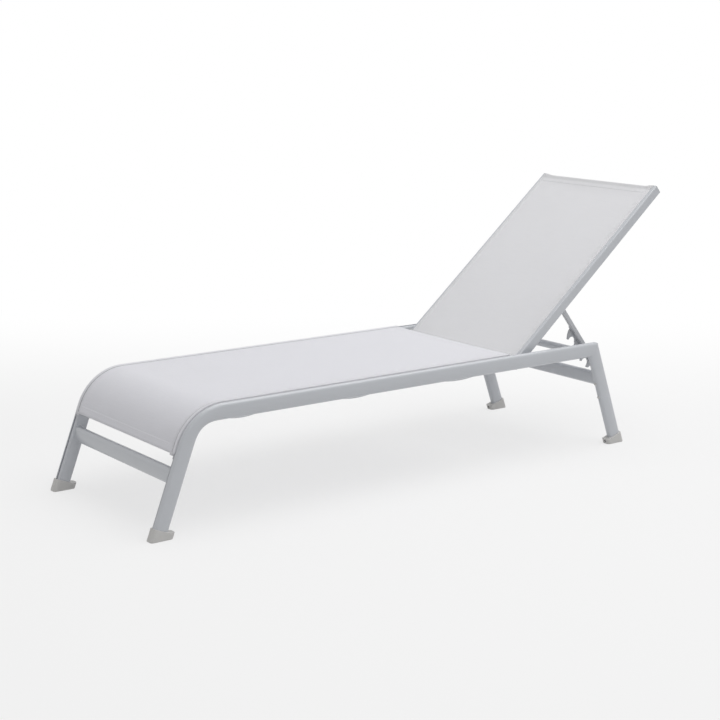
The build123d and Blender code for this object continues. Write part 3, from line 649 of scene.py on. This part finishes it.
def build_sheet(name, path, stations, profile_at, keep, material, body):
    """A sheet through profiles along a path, two layers thick at its hems."""
    builder = bmesh.new()
    uv_layer = builder.loops.layers.uv.new("cloth")
    weights = builder.verts.layers.deform.verify()
    grid, spots = [], {}
    for along in stations:
        row = []
        last, girth = None, 0
        for across, level, hem in profile_at(along):
            place, normal = path.spread(along, across)
            vertex = builder.verts.new(place + normal * level + Vector((0, across, 0)))
            vertex[weights][0] = hem
            if last is not None:
                girth += math.hypot(across - last[0], level - last[1])
            last = (across, level)
            spots[vertex] = [girth, along]
            row.append(vertex)
        for vertex in row:
            spots[vertex][0] -= girth / 2
        grid.append(row)
    for along, lower, upper in zip(stations, grid, grid[1:]):
        for i in range(len(lower) - 1):
            if keep(along, (lower[i].co.y + lower[i + 1].co.y) / 2):
                face = builder.faces.new((lower[i], lower[i + 1], upper[i + 1], upper[i]))
                for loop in face.loops:
                    loop[uv_layer].uv = spots[loop.vert]
    loose = [vertex for vertex in builder.verts if not vertex.link_faces]
    bmesh.ops.delete(builder, geom=loose, context="VERTS")
    builder.normal_update()
    piece = add_piece(name, builder, material, body)
    piece.vertex_groups.new(name="hem")
    layers = piece.modifiers.new("layers", "SOLIDIFY")
    layers.thickness = 2 * cloth_thickness
    layers.offset = -1
    layers.vertex_group = "hem"
    layers.thickness_vertex_group = 0.5
    layers.use_even_offset = False
    bpy.context.view_layer.update()
    graph = bpy.context.evaluated_depsgraph_get()
    solid = bpy.data.meshes.new_from_object(piece.evaluated_get(graph))
    piece.modifiers.clear()
    piece.data = solid
    return piece


def stations_between(start, end, step, seams=()):
    """Lengths along a path, closer together round its seams."""
    count = max(1, round((end - start) / step))
    lengths = {round(start + (end - start) * i / count, 6) for i in range(count + 1)}
    for place in seams:
        for i in range(-seam_steps, seam_steps + 1):
            lengths.add(round(min(end, max(start, place + i * seam_step)), 6))
    ordered = sorted(lengths)
    kept = [ordered[0]]
    for length in ordered[1:]:
        if length - kept[-1] > least_along:
            kept.append(length)
    kept[-1] = ordered[-1]
    return kept


face_start = back_path.wrap
face_end = back_path.wrap + back_path.face_length
seat_rows = (end_hem - seam_inset, seat_path.length - end_hem + seam_inset)
seat_hems = (end_hem, seat_path.length - end_hem)
back_rows = (face_start + end_hem - seam_inset, face_end - end_hem + seam_inset)
back_hems = (face_start + end_hem, face_end - end_hem)

seat_stations = stations_between(0, seat_path.length, face_step, seat_hems + seat_rows)
back_stations = (
    stations_between(0, sleeve_tail, tail_step)
    + stations_between(sleeve_tail, face_start, wrap_step)[1:]
    + stations_between(face_start, face_end, face_step, back_hems + back_rows)[1:]
    + stations_between(face_end, back_path.length - sleeve_tail, wrap_step)[1:]
    + stations_between(back_path.length - sleeve_tail, back_path.length, tail_step)[1:]
)

seat_sheet = build_sheet(
    "seat_sheet", seat_path, seat_stations, seat_profile, lambda along, across: True,
    seat_cloth, "base",
)
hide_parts("seat_sling")
back_sheet = build_sheet(
    "back_sheet", back_path, back_stations, back_profile, back_keep,
    back_cloth, "back",
)
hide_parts("back_sling")


# Stitches, and the folded ends of the hems

def add_stitch(builder, place, direction, normal):
    """One stitch of thread, lying half in the cloth."""
    side = direction.cross(normal).normalized()
    rings = []
    for length, radius in stitch_rings:
        ring = []
        dip = normal * (-stitch_width / 2) * abs(length)
        for i in range(stitch_sides):
            angle = 2 * math.pi * i / stitch_sides
            offset = side * math.cos(angle) + normal * math.sin(angle)
            ring.append(builder.verts.new(
                place + direction * (length * stitch_length)
                + offset * (radius * stitch_width / 2) + dip
            ))
        rings.append(ring)
    for lower, upper in zip(rings, rings[1:]):
        join_rings(builder, lower, upper)
    builder.faces.new(rings[0][::-1])
    builder.faces.new(rings[-1])


def surface_point(path, profile_at, along, across):
    """A place on a sheet's upper face, between the points of its section."""
    place, direction, normal = path.at(along)
    profile = profile_at(along)
    for first, second in zip(profile, profile[1:]):
        if first[0] <= across <= second[0]:
            share = (across - first[0]) / max(1e-9, second[0] - first[0])
            level = first[1] + share * (second[1] - first[1])
            return place + normal * level + Vector((0, across, 0)), direction, normal
    return place + Vector((0, across, 0)), direction, normal


def sew(name, path, profile_at, slot_y, starts, ends, cross_rows, body):
    """Rows of stitches along both side hems, and across the sheet at the given lengths."""
    builder = bmesh.new()
    line_y = slot_y - side_hem + side_seam_inset
    count = int((ends - starts) / stitch_pitch)
    for side in (-1, 1):
        for i in range(count):
            along = starts + (i + 0.5) * (ends - starts) / count
            place, direction, normal = surface_point(path, profile_at, along, side * line_y)
            add_stitch(builder, place + normal * stitch_lift, direction, normal)
    across_count = int(2 * line_y / stitch_pitch)
    for along in cross_rows:
        for i in range(across_count):
            across = -line_y + (i + 0.5) * 2 * line_y / across_count
            place, _, normal = surface_point(path, profile_at, along, across)
            add_stitch(builder, place + normal * stitch_lift, Vector((0, 1, 0)), normal)
    builder.normal_update()
    bmesh.ops.recalc_face_normals(builder, faces=builder.faces)
    return add_piece(name, builder, thread, body)


def hem_ends():
    """The folded ends of the side hems, which show below the seat sheet's two front corners."""
    builder = bmesh.new()
    place, direction, normal = seat_path.at(0)
    width, length, rise = hem_end_size
    for side in (-1, 1):
        middle = side * (seat_cloth_y - seat_lip_radius - width / 2)
        centre = place + direction * (length / 2 - hem_end_below) + normal * (rise / 2 + slot_margin)
        centre = centre + Vector((0, middle, 0))
        turned = Matrix((
            (0, direction.x, normal.x), (1, direction.y, normal.y), (0, direction.z, normal.z),
        )).to_4x4()
        sizes = Matrix.Diagonal((width, length, rise, 1))
        made = bmesh.ops.create_cube(
            builder, size=1, matrix=Matrix.Translation(centre) @ turned @ sizes,
        )
        edges = {edge for vertex in made["verts"] for edge in vertex.link_edges}
        bmesh.ops.bevel(
            builder, geom=list(edges), offset=rise / 3, segments=hem_end_segments, affect="EDGES",
        )
    bmesh.ops.recalc_face_normals(builder, faces=builder.faces)
    return add_piece("seat_hem_ends", builder, thread, "base")


seat_stitches = sew(
    "seat_stitches", seat_path, seat_profile, seat_cloth_y,
    stitch_margin, seat_path.length - stitch_margin, seat_rows, "base",
)
back_stitches = sew(
    "back_stitches", back_path, back_profile, back_cloth_y,
    face_start + stitch_margin, face_end - stitch_margin, back_rows, "back",
)
seat_hem_ends = hem_ends()


# Welds where the tubes meet

def tree_of(*names):
    """A search tree over the surfaces of some CAD nodes."""
    builder = bmesh.new()
    for name in names:
        builder.from_mesh(nodes[name].data)
    tree = BVHTree.FromBMesh(builder)
    builder.free()
    return tree


def weld_line(tube, walls, side):
    """Where a tube meets its walls at one end: places, and the ray outwards at each."""
    low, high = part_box(tube)
    tube_tree = tree_of(tube)
    wall_tree = tree_of(*walls)
    centre = Vector(((low.x + high.x) / 2, side * (side_inner - weld_backset), 0))
    above = Vector((centre.x, centre.y, high.z + box_clearance))
    below = Vector((centre.x, centre.y, low.z - box_clearance))
    top = tube_tree.ray_cast(above, Vector((0, 0, -1)))[0]
    bottom = tube_tree.ray_cast(below, Vector((0, 0, 1)))[0]
    centre.z = (top.z + bottom.z) / 2
    line = []
    for i in range(weld_points):
        angle = 2 * math.pi * i / weld_points
        ray = Vector((math.cos(angle), 0, math.sin(angle)))
        skin = tube_tree.ray_cast(centre + ray * skin_reach, -ray)[0]
        if skin is None:
            continue
        hit = wall_tree.ray_cast(skin + ray * weld_lift, Vector((0, side, 0)), wall_reach)[0]
        if hit is not None:
            line.append((Vector((skin.x, hit.y, skin.z)), ray))
    return line


def weld(builder, tube, walls, side, bead):
    """A rippled weld bead round a tube's end, left out where the tube misses its walls."""
    line = weld_line(tube, walls, side)
    if len(line) < weld_points - weld_missing:
        return
    rings = []
    for i, (place, ray) in enumerate(line):
        along = (line[(i + 1) % len(line)][0] - line[i - 1][0]).normalized()
        out = (ray - along * ray.dot(along)).normalized()
        inward = along.cross(out)
        if inward.y * side > 0:
            inward = -inward
        radius = bead * (1 + weld_ripple * math.sin(2 * math.pi * i / weld_ripple_points))
        ring = []
        for j in range(weld_sides):
            turn = 2 * math.pi * j / weld_sides
            offset = out * (radius * math.cos(turn)) + inward * (radius * math.sin(turn))
            ring.append(builder.verts.new(place + offset))
        rings.append(ring)
    for ring, following in zip(rings, rings[1:] + rings[:1]):
        join_rings(builder, ring, following)


def weld_set(name, tubes, body):
    """The weld beads at both ends of some cross tubes, as one piece."""
    builder = bmesh.new()
    for tube, walls, bead in tubes:
        for side, end in ((-1, "_left"), (1, "_right")):
            weld(builder, tube, [wall + end for wall in walls], side, bead)
    bmesh.ops.recalc_face_normals(builder, faces=builder.faces)
    return add_piece(name, builder, frame_paint, body)


weld_set("base_welds", [
    ("front_stretcher", ["side_rail"], stretcher_bead),
    ("rear_stretcher", ["rear_leg"], stretcher_bead),
    ("seat_bar_front", ["side_rail"], bar_bead),
    ("seat_bar_middle", ["side_rail"], bar_bead),
    ("seat_bar_rear", ["side_rail"], bar_bead),
    ("catch_bar", ["side_rail", "rear_leg"], bar_bead),
], "base")


# Floor, surround, light and camera

floor_half = 14
floor_grey = (0.8, 0.8, 0.8, 1)
floor_near_share = 0.66
floor_side = (0.6, 0.8, 0)
floor_side_fade = (0.2, 2.6)
floor_round_fade = (2.4, 5.5)

camera_place = Vector((hinge_x - 3.34828, -3.9339, 1.3912))
camera_azimuth = math.radians(-36.8492)
camera_elevation = math.radians(11.9231)
camera_roll = math.radians(0.1893)
focal_pixels = 1575.944
optical_centre = (369.0212, 354.2823)
photo_pixels = 720
sensor_width = 36
seen_distances = (0.05, 100)


def floor_material():
    """A pale matt surface that turns to the surround's white with distance, sooner to one side."""
    material, tree, shader = new_material("floor_paint")
    shader.inputs["Base Color"].default_value = floor_grey
    shader.inputs["Roughness"].default_value = 0.85
    shader.inputs["Specular IOR Level"].default_value = 0.15
    spot = node(tree, "ShaderNodeVectorMath", {
        0: place_of(tree), 1: floor_side,
    }, operation="DOT_PRODUCT")
    reach = node(tree, "ShaderNodeVectorMath", {0: place_of(tree)}, operation="LENGTH")
    away = calc(
        tree, "MAXIMUM",
        remap(tree, spot.outputs["Value"], floor_side_fade, (0, 1), "SMOOTHSTEP"),
        remap(tree, reach.outputs["Value"], floor_round_fade, (0, 1), "SMOOTHSTEP"),
    )
    paleness = remap(tree, away, (0, 1), (floor_near_share, 1))
    share = calc(tree, "MULTIPLY", paleness, seen_by_camera(tree))
    glow = node(tree, "ShaderNodeEmission", {"Color": (1, 1, 1, 1), "Strength": 1})
    mix = node(tree, "ShaderNodeMixShader", {0: share, 1: shader.outputs[0], 2: glow.outputs[0]})
    tree.links.new(mix.outputs[0], tree.nodes["Material Output"].inputs["Surface"])
    return material


def add_floor():
    """A wide floor under the lounge."""
    builder = bmesh.new()
    bmesh.ops.create_grid(builder, x_segments=4, y_segments=4, size=floor_half)
    mesh = bpy.data.meshes.new("floor")
    builder.to_mesh(mesh)
    builder.free()
    floor = bpy.data.objects.new("floor", mesh)
    bpy.context.scene.collection.objects.link(floor)
    mesh.materials.append(floor_material())


def add_lamp(name, place, target, size, watts):
    """A large soft box that points at a target."""
    lamp = bpy.data.lights.new(name, "AREA")
    lamp.shape = "RECTANGLE"
    lamp.size, lamp.size_y = size
    lamp.energy = watts
    holder = bpy.data.objects.new(name, lamp)
    bpy.context.scene.collection.objects.link(holder)
    holder.location = place
    holder.rotation_mode = "QUATERNION"
    holder.rotation_quaternion = (Vector(target) - Vector(place)).to_track_quat("-Z", "Y")


def add_world(strength):
    """An even white surround: white to the camera and in reflections, dimmer as a light."""
    world = bpy.data.worlds.new("surround")
    bpy.context.scene.world = world
    world.use_nodes = True
    tree = world.node_tree
    background = tree.nodes["Background"]
    level = remap(tree, seen_by_camera(tree), (0, 1), (strength, 1))
    tree.links.new(level, background.inputs["Strength"])
    background.inputs["Color"].default_value = (1, 1, 1, 1)


def add_camera():
    """The photograph's camera."""
    data = bpy.data.cameras.new("camera")
    camera = bpy.data.objects.new("camera", data)
    bpy.context.scene.collection.objects.link(camera)
    data.sensor_width = sensor_width
    data.lens = focal_pixels / photo_pixels * sensor_width
    data.shift_x = -(optical_centre[0] - photo_pixels / 2) / photo_pixels
    data.shift_y = (optical_centre[1] - photo_pixels / 2) / photo_pixels
    data.clip_start, data.clip_end = seen_distances
    back = Vector((
        math.sin(camera_azimuth) * math.cos(camera_elevation),
        -math.cos(camera_azimuth) * math.cos(camera_elevation),
        math.sin(camera_elevation),
    ))
    right = Vector((0, 0, 1)).cross(back).normalized()
    up = back.cross(right)
    turned_right = right * math.cos(camera_roll) + up * math.sin(camera_roll)
    turned_up = up * math.cos(camera_roll) - right * math.sin(camera_roll)
    axes = Matrix((turned_right, turned_up, back)).transposed().to_4x4()
    camera.matrix_world = Matrix.Translation(camera_place) @ axes
    bpy.context.scene.camera = camera


add_floor()
add_world(strength=0.45)
add_lamp("top_box", place=(1.7, -1.1, 5.9), target=(0.3, 0, 0.3), size=(6.2, 5.6), watts=228)
add_camera()
bpy.context.scene.view_settings.view_transform = "Standard"
